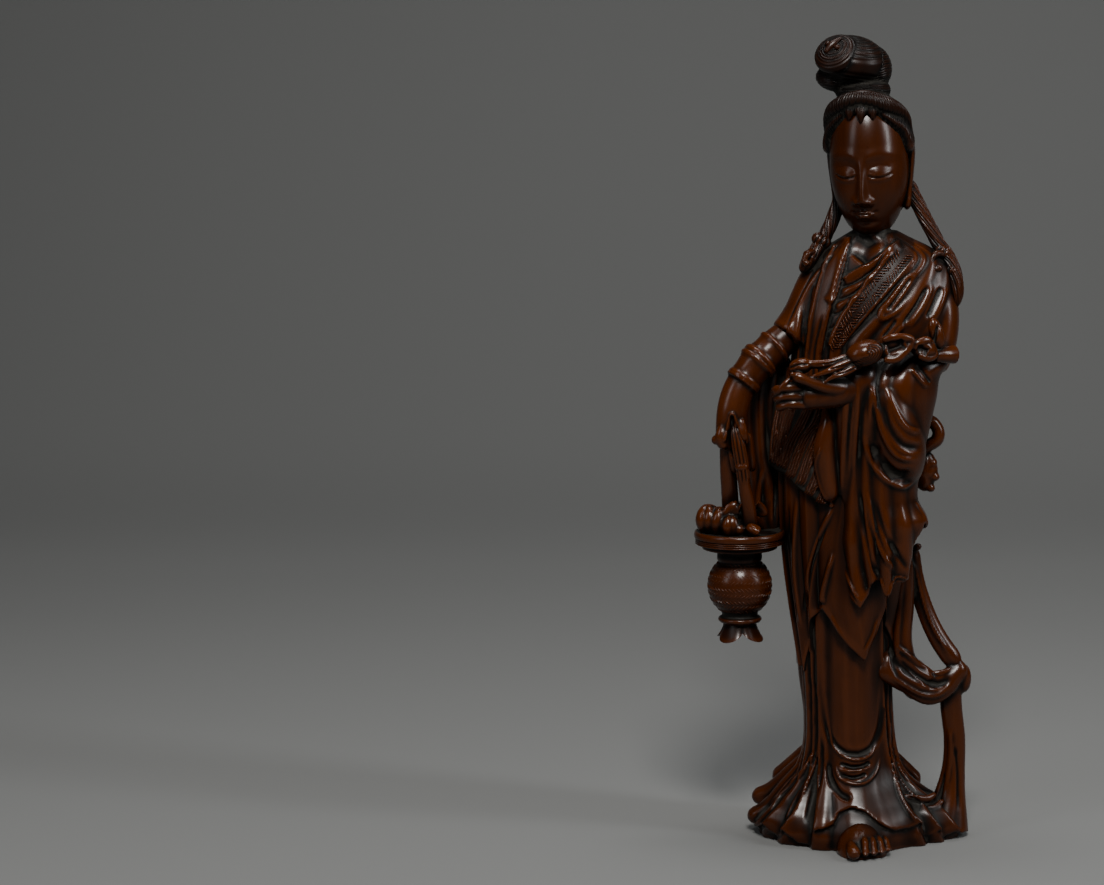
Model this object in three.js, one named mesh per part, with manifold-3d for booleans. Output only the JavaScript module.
// A standing Guanyin carved from one block of boxwood. The right hand hangs down and holds a
// flower basket by its handle, the left forearm crosses the body under a spray of lotus, and
// the long skirt spreads into a scalloped hem that carries the figure. Millimetres, +Z up,
// the ground at Z 0. The front view looks along +Y, and +X is the figure's own left.

import * as THREE from "three";
import Module from "manifold-3d";
import { mergeVertices } from "three/addons/utils/BufferGeometryUtils.js";

const wasm = await Module();
wasm.setup();

// Driving sizes, in millimetres
const FIGURE_HEIGHT = 427; // ground to the top of the topknot
const HEM_HALF_WIDTH = 53; // the spread hem, across the front view
const HEM_HALF_DEPTH = 42; // the spread hem, front to back
const HEM_EDGE_HEIGHT = 7; // ground to the lip of the hem
const HEM_BACK_LOBES = 8; // scallops round the back of the hem
const HAIR_THICKNESS = 4.3; // the combed hair, out from the head
const TRESS_RADIUS = 3.1; // each tress of hair that falls to a shoulder
const STRUT_HALF_WIDTH = 6; // the scarf end that runs down to the hem
const STRUT_HALF_DEPTH = 4.6;
const SCARF_HALF_WIDTH = 6.5;
const SCARF_HALF_THICKNESS = 3;
const STEM_RADIUS = 2.2; // the lotus stem
const FINGER_RADIUS = 2.3;
const TOE_RADIUS = 2.7;
const PLATE_RADIUS = 24; // the basket's rim
const PLATE_THICKNESS = 7;
const BOWL_RADIUS = 17; // the basket's round body
const BASKET_FOOT_RADIUS = 12.6;
const BASKET_FOOT_HEIGHT = 8;
const HANDLE_RADIUS = 3.4;

const SHORTEST_EDGE = 0.6; // the finest edge that the joined faces keep
const SMALLEST_FACE = 0.01; // square millimetres

// The pose and the carving are drawn at this height and follow the figure's real height.
const DRAWN_HEIGHT = 427;
const SHARE = FIGURE_HEIGHT / DRAWN_HEIGHT;
const at = (x, y, z) => new THREE.Vector3(x, y, z).multiplyScalar(SHARE);
const FRONT = -Math.PI / 2; // the angle round the body that faces the viewer
const DEGREE = Math.PI / 180;

// Values of a table [[position, value, ...], ...] at any position, joined by a smooth curve.
function valuesAt(table, position) {
  let i = 0;
  while (i < table.length - 2 && position > table[i + 1][0]) i++;
  const before = table[Math.max(i - 1, 0)];
  const low = table[i];
  const high = table[i + 1];
  const after = table[Math.min(i + 2, table.length - 1)];
  const gap = high[0] - low[0];
  const s = THREE.MathUtils.clamp((position - low[0]) / gap, 0, 1);
  return low.slice(1).map((value, k) => {
    const next = high[k + 1];
    const leave = ((next - before[k + 1]) / (high[0] - before[0])) * gap;
    const arrive = ((after[k + 1] - value) / (after[0] - low[0])) * gap;
    return (
      value * (2 * s ** 3 - 3 * s ** 2 + 1) +
      next * (3 * s ** 2 - 2 * s ** 3) +
      leave * (s ** 3 - 2 * s ** 2 + s) +
      arrive * (s ** 3 - s ** 2)
    );
  });
}

// A closed skin: rings of points from pointAt(around, along), each from 0 to 1, with a fan
// over the first ring and the last.
function closedSkin(columns, rings, pointAt) {
  const points = [];
  for (let j = 0; j <= rings; j++)
    for (let i = 0; i < columns; i++) points.push(pointAt(i / columns, j / rings));
  const middle = (j) =>
    points
      .slice(j * columns, (j + 1) * columns)
      .reduce((sum, p) => sum.add(p), new THREE.Vector3())
      .divideScalar(columns);
  points.push(middle(0), middle(rings));
  const [start, end] = [points.length - 2, points.length - 1];
  const faces = [];
  const spot = (i, j) => j * columns + (i % columns);
  for (let j = 0; j < rings; j++)
    for (let i = 0; i < columns; i++) {
      faces.push(spot(i, j), spot(i + 1, j), spot(i + 1, j + 1));
      faces.push(spot(i, j), spot(i + 1, j + 1), spot(i, j + 1));
    }
  for (let i = 0; i < columns; i++) {
    faces.push(start, spot(i + 1, 0), spot(i, 0));
    faces.push(end, spot(i, rings), spot(i + 1, rings));
  }
  const skin = new THREE.BufferGeometry().setFromPoints(points);
  skin.setIndex(faces);
  return skin;
}

// The volume inside a geometry, below zero where its faces point inwards.
function signedVolume(geometry) {
  const { position } = geometry.attributes;
  const corner = (k) => new THREE.Vector3().fromBufferAttribute(position, geometry.index.getX(k));
  let sum = 0;
  for (let k = 0; k < geometry.index.count; k += 3)
    sum += corner(k).dot(corner(k + 1).cross(corner(k + 2)));
  return sum / 6;
}

// Any closed geometry as a solid that can be joined and cut.
function solid(geometry) {
  const bare = new THREE.BufferGeometry();
  bare.setAttribute("position", geometry.getAttribute("position"));
  bare.setIndex(geometry.index);
  const merged = mergeVertices(bare, 1e-4);
  const triVerts = new Uint32Array(merged.index.array);
  if (signedVolume(merged) < 0) triVerts.reverse();
  const vertProperties = merged.attributes.position.array;
  return new wasm.Manifold(new wasm.Mesh({ numProp: 3, vertProperties, triVerts }));
}

// The front lines of a garment at one height, as shares of its half width from -1 to 1. They
// keep their order and a small gap, also where the oval is narrower than the drawn lines.
function pleatShares(pleats, z, [cx, , halfWidth]) {
  const gap = 0.03;
  const shares = pleats.map(({ line }) => (valuesAt(line, z)[0] - cx) / halfWidth);
  shares.forEach((share, k) => {
    shares[k] = Math.max(share, k ? shares[k - 1] + gap : gap - 1);
  });
  for (let k = shares.length - 1; k >= 0; k--)
    shares[k] = Math.min(shares[k], 1 - gap * (shares.length - k));
  return shares;
}

// A draped garment: one oval ring at each height of its table [z, centre x, centre y, half
// width, half depth]. Round its front the columns follow the drawn pleats, each a line
// [[z, x], ...] that starts at the cloth's edge and stands out (or lies back) by out
// millimetres. Round its back run even folds. deepen(z) makes the carving deeper or flatter.
function garment({ table, pleats, top, rings, back, deepen = () => 1, spread = 1 }) {
  const columns = pleats.length + back.columns;
  const [first, last] = [pleats[0], pleats[pleats.length - 1]];
  const skin = closedSkin(columns, rings, (around, along) => {
    const k = Math.round(around * columns);
    const behind = (k - pleats.length + 1) / (back.columns + 1);
    const fold = flutes(back.folds)(behind * 2 * Math.PI);
    const sides = THREE.MathUtils.lerp(last.line[0][0], first.line[0][0], behind);
    const middle = 4 * behind * (1 - behind);
    const hem = THREE.MathUtils.lerp(sides, back.hem - back.drop * fold, middle);
    const low = pleats[k]?.line[0][0] ?? hem;
    const z = THREE.MathUtils.lerp(low, top, along ** spread);
    const section = valuesAt(table, z);
    const shares = pleatShares(pleats, z, section);
    const start = -Math.acos(shares[shares.length - 1]);
    const end = 2 * Math.PI - Math.acos(shares[0]);
    const angle = pleats[k] ? -Math.acos(shares[k]) : THREE.MathUtils.lerp(start, end, behind);
    const out = deepen(z) * (pleats[k]?.out ?? back.depth * fold);
    const [cx, cy, halfWidth, halfDepth] = section;
    return at(
      cx + (halfWidth + out) * Math.cos(angle),
      cy + (halfDepth + out) * Math.sin(angle),
      z,
    );
  });
  return solid(skin);
}

// The front surface of a garment's oval at a place in the front view.
function frontOf(table, x, z) {
  const [cx, cy, halfWidth, halfDepth] = valuesAt(table, z);
  const across = THREE.MathUtils.clamp((x - cx) / halfWidth, -0.98, 0.98);
  return cy - halfDepth * Math.sqrt(1 - across ** 2);
}

// A limb, fold, leaf or band that follows a curve. sizes is a table [share along, half width,
// half thickness]; side is the direction of the width; blunt is the share of the length over
// which each end rounds off.
function limb({ path, sizes, side = [1, 0, 0], columns = 8, rings = 8, blunt = [0.12, 0.12],
  ribs = 0, ribDepth = 0 }) {
  const curve = new THREE.CatmullRomCurve3(path, false, "centripetal");
  const wide = new THREE.Vector3(...side);
  const skin = closedSkin(columns, rings, (around, along) => {
    const v = (1 - Math.cos(Math.PI * (0.03 + 0.94 * along))) / 2;
    const centre = curve.getPoint(v);
    const tangent = curve.getTangent(v);
    const normal = new THREE.Vector3().crossVectors(tangent, wide).normalize();
    const across = new THREE.Vector3().crossVectors(normal, tangent);
    const [halfWidth, halfThickness] = valuesAt(sizes, v);
    const rise = blunt[0] ? Math.min(v / blunt[0], 1) : 1;
    const fall = blunt[1] ? Math.min((1 - v) / blunt[1], 1) : 1;
    const taper = Math.sqrt(1 - (1 - Math.min(rise, fall)) ** 2);
    const angle = around * 2 * Math.PI;
    const swell = taper * (1 + ribDepth * Math.cos(ribs * angle));
    return centre
      .addScaledVector(across, halfWidth * swell * Math.cos(angle))
      .addScaledVector(normal, halfThickness * swell * Math.sin(angle));
  });
  return solid(skin);
}

// A rounded form: an ellipsoid with half sizes, turned by angles in degrees, whose surface
// may be shaped by relief(unit direction), a factor on the distance from the centre.
function roundForm({ centre, half, turn = [0, 0, 0], columns = 10, rings = 7,
  relief = () => 1, floor = -Infinity }) {
  const rotation = new THREE.Euler(...turn.map((degrees) => degrees * DEGREE));
  const skin = closedSkin(columns, rings, (around, along) => {
    const down = Math.PI * (0.04 + 0.92 * along);
    const angle = around * 2 * Math.PI + FRONT;
    const direction = new THREE.Vector3(
      Math.sin(down) * Math.cos(angle),
      Math.sin(down) * Math.sin(angle),
      Math.cos(down),
    );
    const factor = relief(direction);
    const point = direction
      .multiply(new THREE.Vector3(...half))
      .multiplyScalar(factor * SHARE)
      .applyEuler(rotation)
      .add(centre);
    point.z = Math.max(point.z, floor);
    return point;
  });
  return solid(skin);
}

// Sections of the draped bodies: [z, centre x, centre y, half width, half depth]
const SKIRT = [
  [0, 1, 1, HEM_HALF_WIDTH - 2, HEM_HALF_DEPTH - 2],
  [HEM_EDGE_HEIGHT, 1, 1, HEM_HALF_WIDTH, HEM_HALF_DEPTH],
  [15, 0, 1, 48, 39],
  [23, -2, 1, 37, 33],
  [33, -4, 1, 29, 27.5],
  [46, -4, 1, 24.5, 24],
  [65, -4.5, 0, 23, 22.5],
  [90, -6, 0, 24, 23],
  [140, -6.5, 0, 27, 24],
];
const OVER_ROBE = [
  [84, -5.5, 1, 25.5, 25],
  [105, -5.5, 1, 27.5, 27],
  [125, -6, 1, 30, 28.5],
  [145, -6.5, 1, 32.3, 29],
  [170, -6.5, 1, 34.5, 29.5],
  [200, -6.5, 1, 35.5, 29],
  [232, -4, 1, 36.5, 28],
  [246, -1, 1, 34, 24],
];
const TORSO = [
  [230, -2, 0, 31, 21],
  [246, 2, 0, 37, 26],
  [262, 6, 0, 40, 27],
  [283, 9, 0, 42.5, 26],
  [300, 11, 1, 39, 23],
  [310, 11.5, 1, 34, 19.5],
  [316, 10.5, 1, 28, 17],
  [321, 9.5, 1, 19, 13],
  [325, 9, 1, 12, 10],
];
const LEFT_SLEEVE = [
  [130, 8, -22, 14, 16.5],
  [150, 11, -20, 18, 19],
  [165, 11.5, -18, 22, 21.5],
  [175, 13, -17, 23.5, 22.5],
  [186, 10.5, -17, 21, 22],
  [205, 11.3, -17, 22.5, 22],
  [225, 12.7, -17.5, 25.5, 22],
  [240, 16.5, -18, 25, 22],
  [250, 18.5, -18, 24.5, 21],
  [258, 22.5, -16, 25.5, 18],
  [266, 27, -11, 19, 14],
];

// The drawn pleats of each garment from the figure's right to its left. Each stands out by
// its first value and follows the line [z, x], which starts at the edge of the cloth.
const pleat = (out, ...line) => ({ out, line });
const SKIRT_PLEATS = [
  pleat(-1.6, [0, -50], [15, -45], [33, -30.5], [60, -26.3], [134, -31]),
  pleat(1.6, [0, -45], [15, -41], [33, -28.5], [60, -24.8], [134, -29]),
  pleat(-1.6, [0, -39], [15, -35], [33, -26], [60, -23.3], [134, -27]),
  pleat(1.6, [0, -33], [15, -29.5], [33, -23], [60, -21.5], [134, -25]),
  pleat(-1.6, [0, -27], [15, -24], [33, -20.5], [60, -19.5], [134, -22]),
  pleat(2, [0, -20], [15, -18], [33, -16.5], [60, -18], [134, -19]),
  pleat(-1.4, [0, -14], [15, -13.5], [33, -14], [60, -15.5], [134, -16]),
  pleat(1.4, [0, -9], [33, -10], [60, -11], [134, -11]),
  pleat(2.4, [0, 0], [33, -1], [60, -3], [134, -3]),
  pleat(1.4, [0, 9], [33, 8], [60, 5.5], [134, 5]),
  pleat(-1.4, [0, 15], [15, 14.5], [33, 13], [60, 10.5], [134, 9]),
  pleat(2, [0, 21], [15, 20], [33, 17], [60, 13], [134, 11.5]),
  pleat(-1.6, [0, 28], [15, 26], [33, 19], [60, 14.8], [134, 13.5]),
  pleat(1.6, [0, 35], [15, 31], [33, 21], [60, 16.3], [134, 15.5]),
  pleat(-1.6, [0, 41], [15, 36], [33, 22.5], [60, 17.3], [134, 17]),
  pleat(1.6, [0, 47], [15, 41], [33, 23.8], [60, 18], [134, 18.3]),
];
const ROBE_PLEATS = [
  pleat(-0.8, [94, -29], [130, -34.5], [170, -39], [235, -39.5]),
  pleat(1.6, [92, -27], [130, -31.5], [170, -35.5], [235, -36]),
  pleat(-1.6, [108, -25.5], [130, -28], [170, -30.5], [235, -32]),
  pleat(2, [122, -23.5], [140, -24.5], [170, -25.5], [235, -27]),
  pleat(-1.6, [126, -20.5], [145, -21], [170, -20.5], [235, -22]),
  pleat(2.6, [128.4, -17.1], [145, -15.5], [165, -11.5], [185, -8.5], [235, -8]),
  pleat(3.4, [118, -10], [145, -8], [165, -5], [235, -3]),
  pleat(5.6, [101, 2.6], [116, 1], [145, -1], [165, 0], [235, 2]),
  pleat(3.4, [116, 9], [130, 8], [165, 6], [235, 7]),
  pleat(2.6, [128.6, 13.5], [145, 13], [165, 12], [235, 12]),
  pleat(-1.6, [118, 16], [145, 17], [235, 17]),
  pleat(1.5, [100, 19.5], [125, 21.5], [235, 23]),
];
const TORSO_PLEATS = [
  pleat(-1, [230, -34], [262, -32], [290, -26], [310, -17], [325, -2]),
  pleat(1.8, [230, -31], [262, -29.5], [290, -24.5], [310, -15.5], [325, 0]),
  pleat(-1, [230, -28.5], [262, -27.5], [290, -22.5], [306, -18.8], [325, 1.5]),
  pleat(1.6, [230, -27], [265, -26], [286, -22.3], [306, -17.2], [321, -9], [325, 2]),
  pleat(1.6, [230, -20], [265, -19.3], [286, -14.3], [306, -9.5], [321, -4], [325, 3]),
  pleat(-1.5, [230, -18], [265, -17.6], [286, -12.5], [306, -8], [321, -2.8], [325, 4]),
  pleat(0, [230, -16], [266, -15.8], [284, -9.5], [298, -1], [310, 5], [325, 8]),
  pleat(-1.5, [230, -14], [266, -14.5], [284, -7.5], [298, 3.3], [316, 15.5], [325, 13]),
  pleat(1.8, [230, -12], [266, -13], [284, -5.5], [298, 4.8], [316, 17], [325, 14.2]),
  pleat(1.8, [230, -4], [266, -9], [280, -1], [298, 12], [317, 24.5], [325, 15.4]),
  pleat(-1, [230, -1], [266, -6.5], [280, 1.5], [298, 14.5], [317, 26.5], [325, 16.6]),
  pleat(1.8, [230, 6], [268, 2], [284, 14], [300, 26], [312, 33], [325, 17.5]),
  pleat(-0.8, [230, 9], [268, 7], [284, 19], [300, 30], [312, 35.5], [325, 18.3]),
  pleat(1.6, [230, 14], [268, 13], [284, 25], [300, 35], [312, 38], [325, 19]),
  pleat(-0.6, [230, 18], [268, 20], [284, 31], [300, 40], [312, 40.5], [325, 19.6]),
  pleat(1.2, [230, 24], [268, 30], [284, 40], [300, 45], [312, 42.5], [325, 20]),
];
const SLEEVE_PLEATS = [
  pleat(-0.6, [170, -10], [190, -9.8], [212, -11], [228, -12], [240, -8], [266, 9]),
  pleat(1.6, [152, -7], [177, -8.5], [204, -9], [228, -9.5], [252, -5.6], [266, 10]),
  pleat(-1.5, [143, -4], [177, -6], [204, -5.8], [228, -5.5], [252, -3], [266, 12]),
  pleat(2.6, [131, 2.6], [156, -2.5], [177, -2.8], [198, -2], [225, -1], [252, 0.5], [266, 14]),
  pleat(-1.6, [138, 6], [156, 2], [177, 1.2], [198, 1.4], [225, 2], [252, 3], [266, 16]),
  pleat(2.2, [145, 8.5], [156, 7.4], [177, 5], [198, 4.6], [225, 5], [252, 6.5], [266, 18]),
  pleat(-1.8, [146, 11], [172, 9.5], [198, 7.5], [225, 8.5], [252, 9.5], [266, 21]),
  pleat(2.2, [136, 15.6], [150, 15.5], [172, 14.5], [190, 12.5], [225, 12.5], [252, 13.5], [266, 24]),
  pleat(-1.6, [143, 19], [150, 19], [172, 19], [190, 18], [225, 17], [252, 18], [266, 28]),
  pleat(1.8, [144, 26], [160, 25], [172, 24.5], [190, 22.5], [225, 23], [252, 24], [266, 32]),
  pleat(-1.2, [160, 30], [172, 29.5], [190, 26.5], [225, 29], [252, 30], [266, 36]),
  pleat(1.2, [174, 35], [190, 29.5], [225, 34], [252, 36], [266, 40]),
];

// Rounded flutes with sharp valleys, count of them round the body.
const flutes = (count, shift = 0) => (angle) =>
  2 * Math.abs(Math.cos((count * (angle - shift)) / 2)) - 1;

function skirt() {
  const body = garment({
    table: SKIRT, pleats: SKIRT_PLEATS, top: 130, rings: 11, spread: 1.5,
    back: { columns: 31, folds: HEM_BACK_LOBES, depth: 1.6, hem: 0, drop: 0 },
    deepen: (z) => 1 + 1.1 * (1 - THREE.MathUtils.smoothstep(z, HEM_EDGE_HEIGHT, 40)),
  });
  return [body, ...shinFolds(), ...hemFolds()];
}

// Rolled folds lie out on the ground beside the hem and behind it.
function hemFolds() {
  const folds = [
    [[-26, 2, 40], [-38, 2, 25], [-48, 1, 12.5], [-58.6, 0, 6.2]],
    [[-24, 12, 42], [-36, 20, 28], [-47, 26.5, 15.5], [-57, 30.5, 9.6]],
    [[-20, 18, 48], [-29, 27, 37], [-38, 34, 26], [-45, 38, 18.5]],
    [[12, 20, 46], [20, 30, 34], [27.5, 36.5, 24], [33, 40, 17]],
  ];
  return folds.map((path) => limb({
    path: path.map((p) => at(...p)), sizes: [[0, 4, 4], [0.6, 5.6, 4.8], [1, 6.2, 5.4]],
    side: [0, 1, 0], columns: 7, rings: 6, blunt: [0.12, 0.2],
  }));
}

// The skirt breaks into hanging folds over the shin, one above the other.
function shinFolds() {
  const folds = [
    { z: 49, left: -17, right: 12, drop: 7 },
    { z: 39, left: -13, right: 12, drop: 5 },
    { z: 30, left: -13, right: 14, drop: 5 },
  ];
  return folds.map(({ z, left, right, drop }) => {
    const front = (share, height) => {
      const x = THREE.MathUtils.lerp(left, right, share);
      return at(x, frontOf(SKIRT, x, height) - 0.4, height);
    };
    return limb({
      path: [front(0, z + drop * 1.4), front(0.25, z + drop * 0.2), front(0.5, z - drop * 0.2),
        front(0.75, z + drop * 0.2), front(1, z + drop * 1.3)],
      sizes: [[0, 1.3, 1.6], [0.5, 2.5, 2.8], [1, 1.3, 1.6]],
      side: [0, 0, 1], columns: 5, rings: 6,
    });
  });
}

function overRobe() {
  return [
    garment({
      table: OVER_ROBE, pleats: ROBE_PLEATS, top: 246, rings: 9,
      back: { columns: 21, folds: 5, depth: 1.6, hem: 92, drop: 4 },
    }),
  ];
}

function torso() {
  const body = garment({
    table: TORSO, pleats: TORSO_PLEATS, top: 325, rings: 10,
    back: { columns: 17, folds: 4, depth: 1.4, hem: 230, drop: 0 },
    deepen: (z) => 1 - 0.8 * THREE.MathUtils.smoothstep(z, 306, 325),
  });
  const neck = limb({
    path: [at(9, 1, 308), at(8, -1, 322), at(6.5, -1, 338)],
    sizes: [[0, 12, 11], [0.5, 9.5, 9.5], [1, 10, 10]],
    columns: 10, rings: 2, blunt: [0, 0],
  });
  return [body, neck];
}

// The hanging sleeve, its full pouch below the forearm, the upper arm, and the pointed end
// of the inner sleeve under the wrist.
function leftSleeve() {
  const body = garment({
    table: LEFT_SLEEVE, pleats: SLEEVE_PLEATS, top: 266, rings: 12,
    back: { columns: 9, folds: 2, depth: 1, hem: 165, drop: 2 },
  });
  const pouch = limb({
    path: [at(14, -20, 254), at(16, -22, 236), at(21, -22, 216), at(30, -17, 195)],
    sizes: [[0, 11, 15], [0.3, 15.5, 20.5], [0.65, 15, 21], [1, 9, 16]],
    columns: 12, rings: 7, blunt: [0.2, 0.25],
  });
  const upperArm = limb({
    path: [at(30, 1, 304), at(42, -2, 288), at(42, -6, 268), at(36, -11, 252)],
    sizes: [[0, 9, 11], [0.4, 10, 12], [1, 10, 12]],
    columns: 10, rings: 5,
  });
  const tongue = [[-10, 252], [-12.5, 232], [-12.5, 215], [-12.5, 200], [-13.4, 185]];
  const inner = limb({
    path: tongue.map(([x, z]) => at(x, frontOf(LEFT_SLEEVE, -6, z) + 2.5, z)),
    sizes: [[0, 7, 5], [0.4, 6, 5], [0.6, 4.5, 4], [1, 1.8, 2]],
    columns: 6, rings: 6,
  });
  return [body, pouch, upperArm, inner];
}

function rightArm() {
  const sleeveCloth = limb({
    path: [at(-42, 3, 262), at(-48, 5, 238), at(-49, 6, 210), at(-47, 6, 186), at(-45, 3, 158)],
    sizes: [[0, 11, 11], [0.35, 10.5, 9.5], [0.7, 11.5, 8], [0.85, 12.5, 8], [1, 8, 6]],
    columns: 12, rings: 6, ribs: 4, ribDepth: 0.08,
  });
  const upper = limb({
    path: [at(-12, 1, 307), at(-19, -1, 294), at(-27, -4, 279), at(-36, -8, 268)],
    sizes: [[0, 13, 12], [0.35, 13.5, 13], [0.7, 12.5, 13], [1, 11.5, 13]],
    columns: 12, rings: 5, blunt: [0.2, 0.05],
  });
  const fore = limb({
    path: [at(-34, -6, 273), at(-43, -10, 263), at(-54, -15, 252), at(-61, -18, 240)],
    sizes: [[0, 8, 8.5], [0.34, 9, 9], [0.4, 10.4, 10.6], [0.46, 9, 9.2], [0.52, 9.2, 9.4],
      [0.58, 11, 11], [0.64, 9.6, 9.8], [0.82, 9.4, 9.6], [0.88, 10.6, 10.6], [0.94, 9.4, 9.4],
      [1, 9, 9]],
    columns: 11, rings: 16, blunt: [0.1, 0.02],
  });
  return [sleeveCloth, upper, fore, ...rightHand()];
}

// The hand hangs with its back to the viewer and grips the basket's handle.
function rightHand() {
  const back = roundForm({
    centre: at(-65, -20, 227), half: [8.2, 7.5, 15], turn: [0, 4, 0], columns: 10, rings: 6,
  });
  const thumb = limb({
    path: [at(-70, -22, 226), at(-72, -24, 216), at(-70, -25, 210)],
    sizes: [[0, FINGER_RADIUS * 1.2, FINGER_RADIUS * 1.2], [1, FINGER_RADIUS, FINGER_RADIUS]],
    columns: 5, rings: 4, blunt: [0.1, 0.4],
  });
  const fingers = [0, 1, 2, 3].map((k) => {
    const x = -66 + 2.9 * k;
    const y = -26 + 1.8 * k;
    return limb({
      path: [
        at(x, y + 2, 220), at(x + 1.2, y - 1, 210), at(x + 2.2, y, 201), at(x + 2, y + 5, 197),
      ],
      sizes: [[0, FINGER_RADIUS, FINGER_RADIUS], [1, FINGER_RADIUS * 0.8, FINGER_RADIUS * 0.8]],
      columns: 5, rings: 5, blunt: [0.1, 0.3],
    });
  });
  return [back, thumb, ...fingers];
}

const BASKET = { x: -62, y: -12, rim: 167.5 };

// The basket hangs by its handle: a ribbed rim, a round body, a ring and a foot of petals.
function basket() {
  const { x, y, rim } = BASKET;
  const under = rim - PLATE_THICKNESS;
  const middle = under - 8 - BOWL_RADIUS;
  const low = middle - BOWL_RADIUS;
  const profile = [new THREE.Vector2(0, low - 3)];
  const corner = (r, z) => profile.push(new THREE.Vector2(r, z));
  corner(BOWL_RADIUS * 0.55, low - 3);
  corner(BOWL_RADIUS * 0.67, low - 1.2);
  corner(BOWL_RADIUS * 0.6, low + 0.8);
  for (const tilt of [-54, -27, 0, 27, 52])
    corner(BOWL_RADIUS * Math.cos(tilt * DEGREE), middle + BOWL_RADIUS * Math.sin(tilt * DEGREE));
  corner(PLATE_RADIUS * 0.64, under - 5);
  corner(PLATE_RADIUS * 0.64, under - 2.6);
  corner(PLATE_RADIUS * 0.83, under - 2.6);
  corner(PLATE_RADIUS * 0.83, under);
  corner(PLATE_RADIUS * 0.96, under);
  corner(PLATE_RADIUS, rim - 2);
  corner(PLATE_RADIUS - 0.8, rim);
  corner(0, rim);
  const turned = new THREE.LatheGeometry(profile, 18);
  turned.rotateX(Math.PI / 2);
  turned.scale(SHARE, SHARE, SHARE);
  turned.translate(x * SHARE, y * SHARE, 0);
  return [solid(turned), basketFoot(low - 2), ...handle(), ...fruit()];
}

// Four petals flare below the ring, with notches between them.
function basketFoot(top) {
  const petals = 4;
  const skin = closedSkin(3 * petals, 2, (around, along) => {
    const angle = around * 2 * Math.PI + 0.6;
    const petal = Math.abs(Math.cos((petals * angle) / 2));
    const radius = THREE.MathUtils.lerp(
      BOWL_RADIUS * 0.5, BASKET_FOOT_RADIUS * (0.8 + 0.26 * petal), along ** 1.4,
    );
    const drop = BASKET_FOOT_HEIGHT * along * (0.62 + 0.38 * petal);
    return at(
      BASKET.x + radius * Math.cos(angle), BASKET.y + radius * Math.sin(angle), top - drop,
    );
  });
  return solid(skin);
}

function handle() {
  const { rim } = BASKET;
  const strands = [
    [[-68, -8, rim - 2], [-69, -11, 184], [-68, -15, 200], [-66, -18, 214]],
    [[-57, -16, rim - 2], [-58, -19, 182], [-60, -20, 196], [-62, -20, 212]],
  ];
  const sizes = [[0, HANDLE_RADIUS, HANDLE_RADIUS], [1, HANDLE_RADIUS, HANDLE_RADIUS]];
  return strands.map((points, k) =>
    limb({
      path: points.map((p) => at(...p)),
      sizes: k ? sizes : sizes.map(([v, wide, thick]) => [v, wide * 1.35, thick]),
      columns: 6, rings: 4, blunt: [0, 0],
    }),
  );
}

// A ribbed fruit, a bud and a tassel lie on the basket's rim.
function fruit() {
  const { rim } = BASKET;
  const ribbed = (direction) => 1 + 0.06 * Math.cos(5 * Math.atan2(direction.y, direction.x));
  return [
    roundForm({
      centre: at(-76.5, -15, rim + 6.6), half: [8, 8, 7.8], columns: 15, rings: 5, relief: ribbed,
    }),
    roundForm({ centre: at(-66.5, -22, rim + 3.6), half: [5, 5, 5.6], columns: 7, rings: 4 }),
    roundForm({
      centre: at(-54.5, -24, rim + 2.2), half: [5.6, 3.4, 3.2], turn: [0, -30, 20],
      columns: 6, rings: 4,
    }),
  ];
}

// The left hand comes out of the sleeve and closes on the lotus stem, thumb uppermost.
function leftHand() {
  const palm = limb({
    path: [at(14, -28, 248), at(-3, -37, 247), at(-15, -42, 247), at(-27, -44, 247)],
    sizes: [[0, 9, 8], [0.5, 7.6, 7], [0.7, 6.6, 6], [1, 6.5, 5]],
    side: [0, 0, 1], columns: 8, rings: 6,
  });
  const thumb = limb({
    path: [at(-13, -46, 247), at(-20, -49.5, 250), at(-27, -50.5, 254), at(-33.5, -49, 257)],
    sizes: [[0, FINGER_RADIUS * 1.3, FINGER_RADIUS * 1.3], [1, FINGER_RADIUS, FINGER_RADIUS]],
    side: [0, 0, 1], columns: 6, rings: 5, blunt: [0.1, 0.25],
  });
  const fingers = [0, 1, 2].map((k) => {
    const z = 251.5 - 4.4 * k;
    const reach = 1.5 * k;
    return limb({
      path: [at(-22, -42, z - 1), at(-32, -50 + k, z), at(-41.5 + reach, -47 + k, z - 0.5),
        at(-39 + reach, -41, z - 1)],
      sizes: [[0, FINGER_RADIUS * 1.1, FINGER_RADIUS * 1.1], [1, FINGER_RADIUS, FINGER_RADIUS]],
      side: [0, 0, 1], columns: 5, rings: 5, blunt: [0.1, 0.2],
    });
  });
  return [palm, thumb, ...fingers];
}

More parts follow.
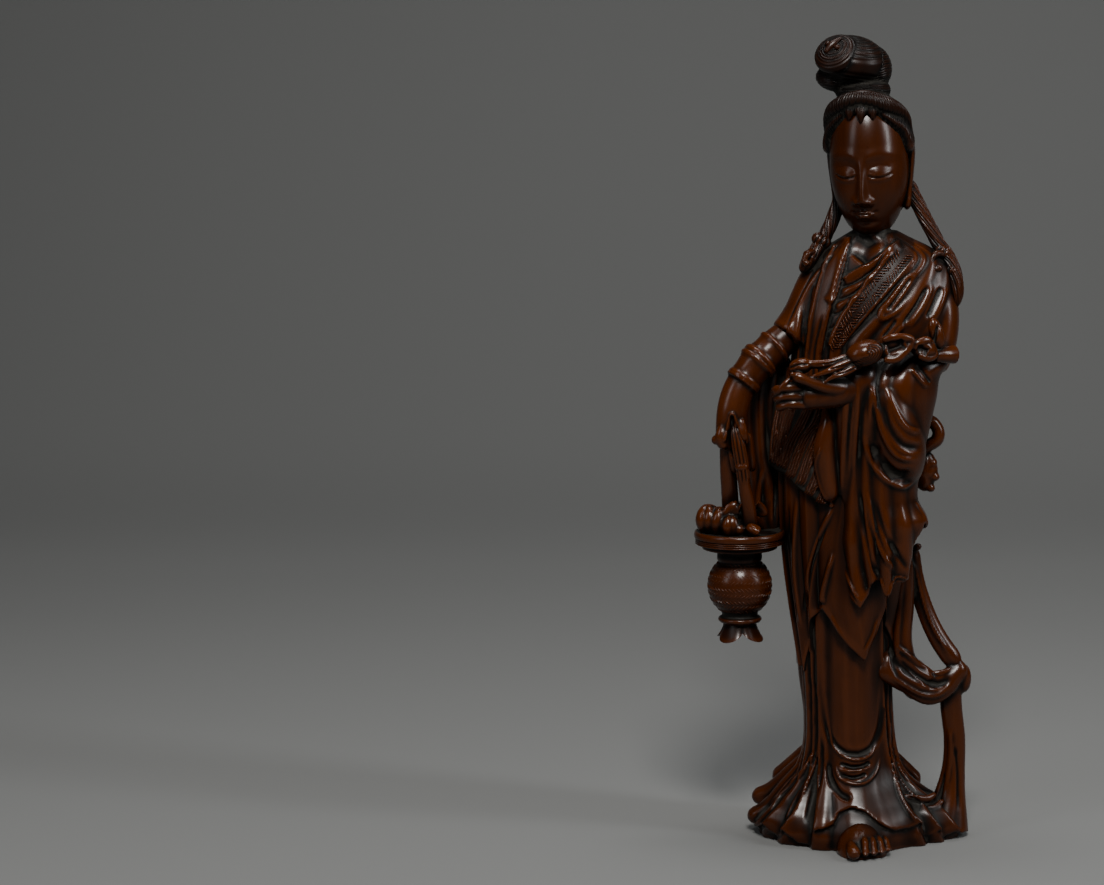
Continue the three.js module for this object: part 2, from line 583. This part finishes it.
// The lotus spray lies over the forearm: stem, seed pod, curled leaves and a cut end.
function lotus() {
  const stem = limb({
    path: [at(-40, -44, 262), at(-22, -47, 258), at(-8, -46, 262), at(4, -43, 266),
      at(22, -36, 268), at(44, -22, 264)],
    sizes: [[0, STEM_RADIUS, STEM_RADIUS], [1, STEM_RADIUS * 1.3, STEM_RADIUS * 1.3]],
    side: [0, 0, 1], columns: 5, rings: 9,
  });
  const pod = roundForm({
    centre: at(3, -43, 267), half: [14.5, 8, 6.8], turn: [0, -14, 12], columns: 10, rings: 6,
  });
  const leaves = [
    [[13, -41, 268], [20, -44, 275], [28, -41, 274], [31, -38, 266]],
    [[15, -41, 263], [23, -43, 262], [31, -40, 266], [35, -35, 275]],
    [[28, -38, 266], [36, -36, 264], [42, -30, 270], [43, -26, 279]],
    [[38, -30, 264], [44, -26, 264.5], [50, -20, 264]],
  ];
  return [
    stem, pod,
    ...leaves.map((points) =>
      limb({
        path: points.map((p) => at(...p)),
        sizes: [[0, 2.4, 2.2], [0.5, 4.2, 2.6], [1, 2.2, 2]],
        side: [0, 0.5, 1], columns: 6, rings: 4, blunt: [0.1, 0.3],
      }),
    ),
  ];
}

// The head, in its own axes: x to the figure's left, y to the back, z up, at its centre.
const HEAD = { centre: [6.5, -2, 359.5], turn: [7, -2.5, -10] };
const HEAD_HALF = [20.5, 24, 37];

// A bump of the face: how near a place is to (x, z), by half widths.
const bump = (x, z, atX, atZ, wide, tall) =>
  Math.exp(-(((x - atX) / wide) ** 2) - ((z - atZ) / tall) ** 2);

// How far the carved face stands out from the oval of the head, in millimetres.
function faceRelief(x, z) {
  const side = Math.abs(x);
  const nose = 5.4 * bump(x, z, 0, -14.5, 3, 3.2) + 3.6 * bump(x, z, 0, -7, 2.2, 8);
  const wings = 1.6 * bump(side, z, 3.4, -15.6, 1.7, 1.9);
  const socket = -1.7 * bump(side, z, 8.6, 0.5, 5, 3.6);
  const lid = 1.9 * bump(side, z, 8.8, -0.6, 3.8, 2.3);
  const lips = 2.1 * bump(x, z, 0, -22.2, 4.4, 1.9) - 1.1 * bump(x, z, 0, -19, 1.6, 1.6);
  const chin = 1.6 * bump(x, z, 0, -32, 6.5, 4.5) - 0.7 * bump(x, z, 0, -26.4, 5, 1.6);
  return nose + wings + socket + lid + lips + chin;
}

function inHead([x, y, z]) {
  const rotation = new THREE.Euler(...HEAD.turn.map((degrees) => degrees * DEGREE));
  return new THREE.Vector3(x, y, z).applyEuler(rotation).add(new THREE.Vector3(...HEAD.centre));
}

// Where the hair lies, from 0 to 1: above the hairline and all over the back of the head.
function hairAt(x, y, z) {
  const hairline = 25 - 27 * (Math.abs(x) / 20) ** 2.8;
  const above = THREE.MathUtils.smoothstep(z, hairline - 1.5, hairline + 1.5);
  const behind = THREE.MathUtils.smoothstep(y, -3, 2) * THREE.MathUtils.smoothstep(z, -32, -22);
  return Math.max(above, behind);
}

// The oval of the head with its carved face, and the combed hair that sweeps up and back
// from the hairline in a roll.
function face() {
  const [wide, deep, tall] = HEAD_HALF;
  const skin = closedSkin(26, 19, (around, along) => {
    const turn = around * 2 * Math.PI;
    const angle = FRONT + turn - 0.5 * Math.sin(turn);
    const down = Math.PI * (0.03 + 0.94 * along);
    const z = tall * Math.cos(down);
    const jaw = 1 - 0.13 * THREE.MathUtils.smoothstep(-z, 2, tall);
    const full = Math.sin(down) ** (z > 0 ? 0.68 : 0.86);
    const x = wide * jaw * full * Math.cos(angle);
    const y = deep * full * Math.sin(angle);
    const hair = hairAt(x, y, z);
    const out = 1 + (hair * HAIR_THICKNESS) / wide;
    const front = THREE.MathUtils.smoothstep(-y, 2, 12) * (1 - hair);
    return inHead([x * out, y * out - faceRelief(x, z) * front, z]).multiplyScalar(SHARE);
  });
  return solid(skin);
}

function head() {
  const place = (points) => points.map((p) => inHead(p).multiplyScalar(SHARE));
  const locks = [-12.5, -6, 0.5, 6.5, 12.5].map((x) => {
    const top = 25 - Math.abs(x) * 0.35;
    const back = -20.6 + 0.02 * x * x;
    return limb({
      path: place([[x * 0.94, back, top + 2], [x, back - 1.4, top - 2],
        [x * 1.08, back - 0.6, top - 6.4]]),
      sizes: [[0, 3.2, 2], [0.5, 2.8, 1.9], [1, 0.6, 0.9]],
      columns: 5, rings: 3,
    });
  });
  const roll = limb({
    path: place([[-23, 1, 9], [-20.5, -10, 18.5], [-11, -18.5, 26.5], [0, -21, 29],
      [11, -18.5, 26.5], [20.5, -10, 18.5], [23, 1, 9]]),
    sizes: [[0, 2.6, 3], [0.2, 4.4, 4.6], [0.5, 4.8, 4.8], [0.8, 4.4, 4.6], [1, 2.6, 3]],
    side: [0, 0, 1], columns: 7, rings: 10,
  });
  return [face(), roll, ...locks, ...ears(place), ...topknot()];
}

// Long ears with heavy lobes.
function ears(place) {
  return [-1, 1].map((hand) =>
    limb({
      path: place([[hand * 22.5, 4, 15], [hand * 24.5, 4.5, 8], [hand * 22.5, 2, -8],
        [hand * 21, 1.5, -20], [hand * 19.5, 1, -28]]),
      sizes: [[0, 2.6, 1.8], [0.22, 6, 2], [0.6, 3.6, 1.9], [0.85, 4.6, 2.4], [1, 3, 2]],
      side: [0, 1, 0], columns: 6, rings: 7, blunt: [0.1, 0.1],
    }),
  );
}

// The hair is wound into a tilted topknot: a stalk, a low roll, a back roll, the main coil
// and the front coil that lies on it like a flat shell.
function topknot() {
  const parts = [
    { centre: at(3, 2, 398), half: [14.5, 13.5, 8], columns: 12, rings: 3 },
    { centre: at(-11, 2, 404.5), half: [10.5, 11, 7], columns: 10, rings: 5 },
    { centre: at(9, 4, 410), half: [9, 13, 11.5], turn: [0, -14, 0], columns: 12, rings: 6 },
    { centre: at(-2.5, 1, 413.3), half: [18, 17.5, 13], turn: [10, 10, 0], columns: 16, rings: 7 },
    { centre: at(-10.5, -8, 417), half: [11.8, 11.8, 6.4], turn: [48, -18, 0], columns: 12, rings: 4 },
  ];
  return parts.map(roundForm);
}

// Two tresses fall from behind the ears, are tied, and end in curled tails on the shoulders.
function tresses() {
  const paths = [
    [[26, 4, 352], [30.5, 3, 341], [36.6, 1, 329], [43, -1, 317], [48, -3, 310],
      [51.5, -5, 299], [51.5, -6, 285]],
    [[-8, 6, 352], [-9.5, 4, 340], [-13.5, 1, 329], [-18, -2, 320], [-23, -6, 313],
      [-29, -9, 304]],
  ];
  const sizes = [[0, TRESS_RADIUS, TRESS_RADIUS], [0.5, TRESS_RADIUS * 1.1, TRESS_RADIUS],
    [1, TRESS_RADIUS * 1.2, TRESS_RADIUS]];
  const falls = paths.map((points) =>
    limb({ path: points.map((p) => at(...p)), sizes, side: [0, 1, 0], columns: 6, rings: 8 }),
  );
  const knots = [[45, -2, 313.5], [-18.5, -2.5, 320]].map((p) =>
    roundForm({ centre: at(...p), half: [5, 5, 3.8], turn: [0, 30, 0], columns: 7, rings: 4 }),
  );
  return [...falls, ...knots];
}

// The scarf: cloth falls from the left hip, swings out in a slack loop and is knotted at the
// side to a band that comes down from the sleeve. Its end hangs on to the hem as a strut.
function scarf() {
  const hip = limb({
    path: [at(21, -4, 158), at(23, -5, 130), at(23, -7, 106), at(28, -7, 90), at(38, -5, 80)],
    sizes: [[0, 8, 7], [0.3, 7, 7.5], [0.6, 6.5, 8], [0.85, 9, 7.5], [1, 8, 6]],
    columns: 8, rings: 7,
  });
  const band = limb({
    path: [at(29, 2, 158), at(31, 2, 140), at(36.5, 2, 121), at(43, 1, 107), at(54, 0, 91)],
    sizes: [[0, SCARF_HALF_WIDTH * 0.6, SCARF_HALF_THICKNESS],
      [1, SCARF_HALF_WIDTH * 0.85, SCARF_HALF_THICKNESS * 1.2]],
    columns: 6, rings: 6,
  });
  const loop = limb({
    path: [at(17, -12, 99), at(24, -11, 88), at(33, -9, 81), at(43, -6, 79.5), at(52, -2, 84),
      at(57, 1, 90)],
    sizes: [[0, SCARF_HALF_WIDTH * 1.2, SCARF_HALF_THICKNESS * 1.8],
      [0.6, SCARF_HALF_WIDTH * 1.3, SCARF_HALF_THICKNESS * 2],
      [1, SCARF_HALF_WIDTH * 0.7, SCARF_HALF_THICKNESS]],
    side: [0, 0.4, 1], columns: 8, rings: 8,
  });
  const knot = roundForm({ centre: at(56.5, 3, 85), half: [5, 5, 8], columns: 7, rings: 4 });
  const strut = limb({
    path: [at(50, 1, 88), at(50, 1, 72), at(52, 1, 52), at(51.5, 1, 36), at(49.5, 1, 20),
      at(47, 0, 4)],
    sizes: [[0, STRUT_HALF_WIDTH, STRUT_HALF_DEPTH], [0.55, STRUT_HALF_WIDTH, STRUT_HALF_DEPTH],
      [0.75, STRUT_HALF_WIDTH * 1.25, STRUT_HALF_DEPTH * 1.5],
      [1, STRUT_HALF_WIDTH * 2, STRUT_HALF_DEPTH * 3]],
    columns: 8, rings: 8, blunt: [0.06, 0],
  });
  return [hip, band, loop, knot, strut];
}

// The sash is tied at the back of the left hip, and its two bows show past the sleeve.
function sash() {
  return [
    roundForm({ centre: at(38, 9, 214), half: [5.5, 6, 8.5], turn: [0, 20, 0], columns: 7, rings: 4 }),
    roundForm({ centre: at(36, 9, 192), half: [6, 6, 10.5], columns: 7, rings: 5 }),
    roundForm({ centre: at(30, 10, 203), half: [7, 7, 7], columns: 6, rings: 4 }),
  ];
}

// The left foot steps out from under the hem, cut flat where it stands.
function foot() {
  const instep = roundForm({
    centre: at(2, -36, 7), half: [13.5, 20, 13], turn: [0, 0, -14], columns: 12, rings: 6, floor: 0,
  });
  const big = roundForm({
    centre: at(0.5, -53, 4.4), half: [TOE_RADIUS * 1.7, 7, TOE_RADIUS * 1.75],
    turn: [0, 0, -6], columns: 7, rings: 5, floor: 0,
  });
  const toes = [[7, -52], [10.8, -49.6], [14.2, -46.6], [17, -43.2]].map(([x, y], k) =>
    roundForm({
      centre: at(x, y, 3.4), half: [TOE_RADIUS * 0.95, 5.6 - k * 0.3, TOE_RADIUS * 1.3],
      turn: [0, 0, -14 - 4 * k], columns: 6, rings: 4, floor: 0,
    }),
  );
  return [instep, big, ...toes];
}

// Whether vertex `gone` can move onto vertex `kept` with the skin still closed and no face
// turned over.
function canMerge(points, faces, around, gone, kept) {
  const ring = (v) => new Set([...around[v]].flatMap((f) => faces[f]).filter((w) => w !== v));
  const shared = [...ring(gone)].filter((v) => ring(kept).has(v));
  if (shared.length !== 2) return false;
  return [...around[gone]].every((f) => {
    if (faces[f].includes(kept)) return true;
    const corners = faces[f].map((v) => points[v]);
    const moved = faces[f].map((v) => points[v === gone ? kept : v]);
    const before = new THREE.Triangle(...corners).getNormal(new THREE.Vector3());
    const after = new THREE.Triangle(...moved);
    return after.getArea() > SMALLEST_FACE && before.dot(after.getNormal(new THREE.Vector3())) > 0.5;
  });
}

// Closes up the very short edges that the joins leave along their seams.
function closeShortEdges(points, faces) {
  const around = points.map(() => new Set());
  faces.forEach((face, f) => face.forEach((v) => around[v].add(f)));
  let merged = 1;
  while (merged > 0) {
    merged = 0;
    faces.forEach((face, f) => {
      for (let k = 0; faces[f] && k < 3; k++) {
        const [kept, gone] = [face[k], face[(k + 1) % 3]];
        if (points[kept].distanceTo(points[gone]) > SHORTEST_EDGE) continue;
        if (!canMerge(points, faces, around, gone, kept)) continue;
        for (const g of around[gone]) {
          if (faces[g].includes(kept)) {
            faces[g].forEach((v) => around[v].delete(g));
            faces[g] = null;
          } else {
            faces[g][faces[g].indexOf(gone)] = kept;
            around[kept].add(g);
          }
        }
        around[gone].clear();
        merged++;
      }
    });
  }
  return faces.filter((face) => face);
}

// Joins every form into the single carved block. It is solid wood, so the small closed
// hollows between forms are left out.
function carvedFigure() {
  const forms = [
    ...skirt(), ...overRobe(), ...torso(), ...leftSleeve(), ...rightArm(), ...leftHand(),
    ...basket(), ...lotus(), ...head(), ...tresses(), ...scarf(), ...sash(), ...foot(),
  ];
  const shells = wasm.Manifold.union(forms).decompose();
  const [block] = shells.sort((a, b) => b.volume() - a.volume());
  const { vertProperties, triVerts, numProp } = block.getMesh();
  const corners = (list, size) =>
    Array.from({ length: list.length / size }, (_, k) => [...list.slice(k * size, k * size + 3)]);
  const points = corners(vertProperties, numProp).map((p) => new THREE.Vector3(...p));
  const faces = closeShortEdges(points, corners(triVerts, 3));
  return mergeVertices(
    new THREE.BufferGeometry().setFromPoints(faces.flat().map((v) => points[v])),
  );
}

const boxwood = new THREE.MeshStandardMaterial({
  color: new THREE.Color(0.16, 0.055, 0.02), roughness: 0.32, metalness: 0,
});
const figure = new THREE.Mesh(carvedFigure(), boxwood);
figure.name = "guanyin_figure";

const group = new THREE.Group();
group.add(figure);
export default group;
